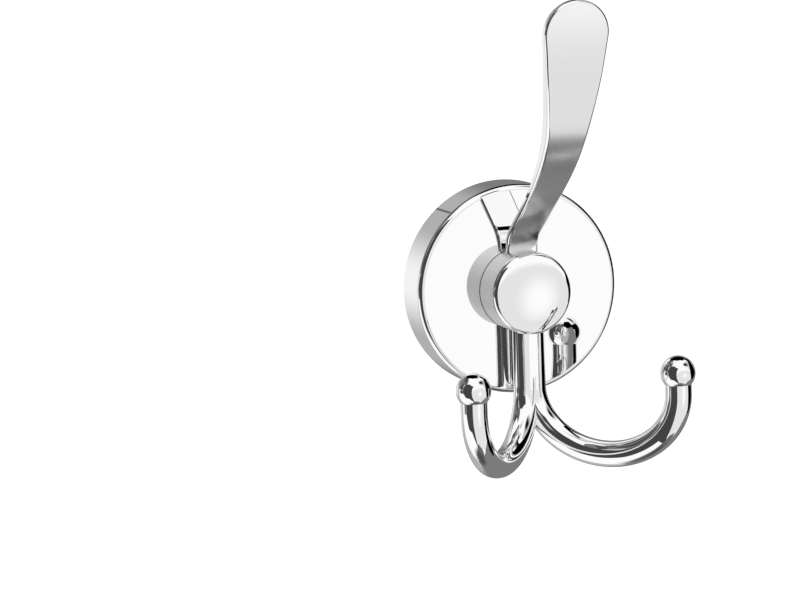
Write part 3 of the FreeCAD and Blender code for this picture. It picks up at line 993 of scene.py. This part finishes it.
def studio_floor():
    """Round pale floor well below the hook, white where the camera sees it unshaded"""
    points = []
    for step in range(FLOOR_SIDES):
        angle = 2 * math.pi * step / FLOOR_SIDES
        points.append((FLOOR_RADIUS * math.cos(angle), FLOOR_RADIUS * math.sin(angle), FLOOR_HEIGHT))
    mesh = bpy.data.meshes.new("floor")
    mesh.from_pydata(points, [], [list(range(FLOOR_SIDES))])
    mesh.update()
    floor = bpy.data.objects.new("floor", mesh)
    bpy.context.collection.objects.link(floor)
    material, nodes, links = new_material("floor")
    output = add(nodes, "ShaderNodeOutputMaterial")
    matte = add(nodes, "ShaderNodeBsdfDiffuse")
    matte.inputs["Color"].default_value = FLOOR_COLOUR
    glow = add(nodes, "ShaderNodeEmission")
    glow.inputs["Color"].default_value = FLOOR_GLOW
    path = add(nodes, "ShaderNodeLightPath")
    links.new(path.outputs["Is Camera Ray"], glow.inputs["Strength"])
    both = add(nodes, "ShaderNodeAddShader")
    links.new(matte.outputs["BSDF"], both.inputs[0])
    links.new(glow.outputs["Emission"], both.inputs[1])
    links.new(both.outputs["Shader"], output.inputs["Surface"])
    mesh.materials.append(material)
    floor.visible_glossy = False


def studio_lamp():
    data = bpy.data.lights.new("soft_lamp", "AREA")
    data.shape = "DISK"
    data.size = LAMP_SIZE
    data.energy = LAMP_POWER
    lamp = bpy.data.objects.new("soft_lamp", data)
    lamp.location = LAMP_PLACE
    lamp.rotation_euler = (-Vector(LAMP_PLACE)).to_track_quat("-Z", "Y").to_euler()
    lamp.visible_glossy = False
    bpy.context.collection.objects.link(lamp)


def studio_camera():
    data = bpy.data.cameras.new("camera")
    data.sensor_width = SENSOR_WIDTH
    data.lens = CAMERA_LENS
    data.clip_start = CAMERA_NEAR
    data.clip_end = CAMERA_FAR
    camera = bpy.data.objects.new("camera", data)
    place = Vector(CAMERA_PLACE)
    look = (Vector(CAMERA_AIM) - place).to_track_quat("-Z", "Y")
    roll = Matrix.Rotation(math.radians(CAMERA_ROLL), 4, "Z")
    camera.matrix_world = Matrix.Translation(place) @ look.to_matrix().to_4x4() @ roll
    bpy.context.collection.objects.link(camera)
    bpy.context.scene.camera = camera


polished = chrome()
bracket_metal = cast_metal("plated_steel", BRACKET_COLOURS, roughs=(0.32, 0.48), scale=260, depth=0.00005)
screw_metal = cast_metal("zinc_plated_screw", ZINC_COLOURS, roughs=(0.2, 0.3), scale=420, depth=0.00001)
black_metal = cast_metal("black_steel_screw", BLACK_COLOURS, roughs=(0.35, 0.5), scale=600, depth=0.00001)
finishes = {"rosette": polished, "hook_body": polished, "wall_bracket": bracket_metal,
            "body_screw": screw_metal, "set_screw": black_metal}
for node, material in finishes.items():
    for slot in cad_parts[node].material_slots:
        slot.material = material

# Fine meshes of the two polished castings, in the places of their solids
cast_parts = [hub(), lever(), prong(1), prong(-1), stem_web(), spigot()]
casting = made_one("hook_casting", cast_parts, [tapped_hole()])
cover_parts = [rosette_cover(), set_screw_boss()]
cover = made_one("rosette_cover", cover_parts, [spigot_hole(), set_screw_hole()])
for piece, node in ((casting, "hook_body"), (cover, "rosette")):
    piece.data.materials.clear()
    piece.data.materials.append(polished)
    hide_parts(node)
    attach(piece, "root")

studio_world()

# Cards: each with its outline, its level of grey, the soft share of its size and its layer
card("back_right", outline(BACK_RIGHT_OUTLINE), 0.205, 0.02, 0)
card("back_left", outline(BACK_LEFT_OUTLINE), 0.44, 0.3, 1)
card("back_pale", oval(-160, -3, 13, 13), 0.92, 0.8, 2)
card("back_post", oval(184, 22, 0.5, 10), 0.15, 0.3, 3)
card("left_wall", outline(LEFT_WALL_OUTLINE), 0.19, 0.03, 2)
card("left_dark_high", outline(LEFT_DARK_HIGH_OUTLINE), 0.075, 0.08, 3)
card("left_dark_mid", outline(LEFT_DARK_MID_OUTLINE), 0.075, 0.1, 3)
card("left_dark_low", outline(LEFT_DARK_LOW_OUTLINE), 0.09, 0.1, 3)
card("left_spot", oval(-93, 30, 5, 9), 0.6, 0.3, 4)
card("floor_left", oval(-100, -89, 17, 17), 0.14, 0.5, 1)
card("floor_right", outline(FLOOR_RIGHT_OUTLINE), 0.155, 0.05, 2)
card("floor_core", oval(60, -87, 14, 14), 0.08, 0.4, 3)
card("right_pale", outline(RIGHT_PALE_OUTLINE), 0.55, 0.2, 1)
card("black_right", outline(BLACK_RIGHT_OUTLINE), 0, 0.03, 4)
card("black_ceiling", outline(BLACK_CEILING_OUTLINE), 0, 0.03, 4)
card("black_spot", oval(57, 46, 14, 12), 0, 0.45, 4)
card("pale_card", oval(18, -18, 50, 43), 0.795, 0.015, 5)
card("pale_fade", oval(16, 33, 40, 14), 1, 0.7, 6)
card("pale_core", oval(24, -11, 12, 12), 1, 0.7, 6)
card("dark_flag", outline(DARK_FLAG_OUTLINE), 0.055, 0.02, 7)
card("flag_tail", outline(FLAG_TAIL_OUTLINE), 0.055, 0.02, 7)

studio_floor()
studio_lamp()
studio_camera()

bpy.context.scene.view_settings.view_transform = "Standard"
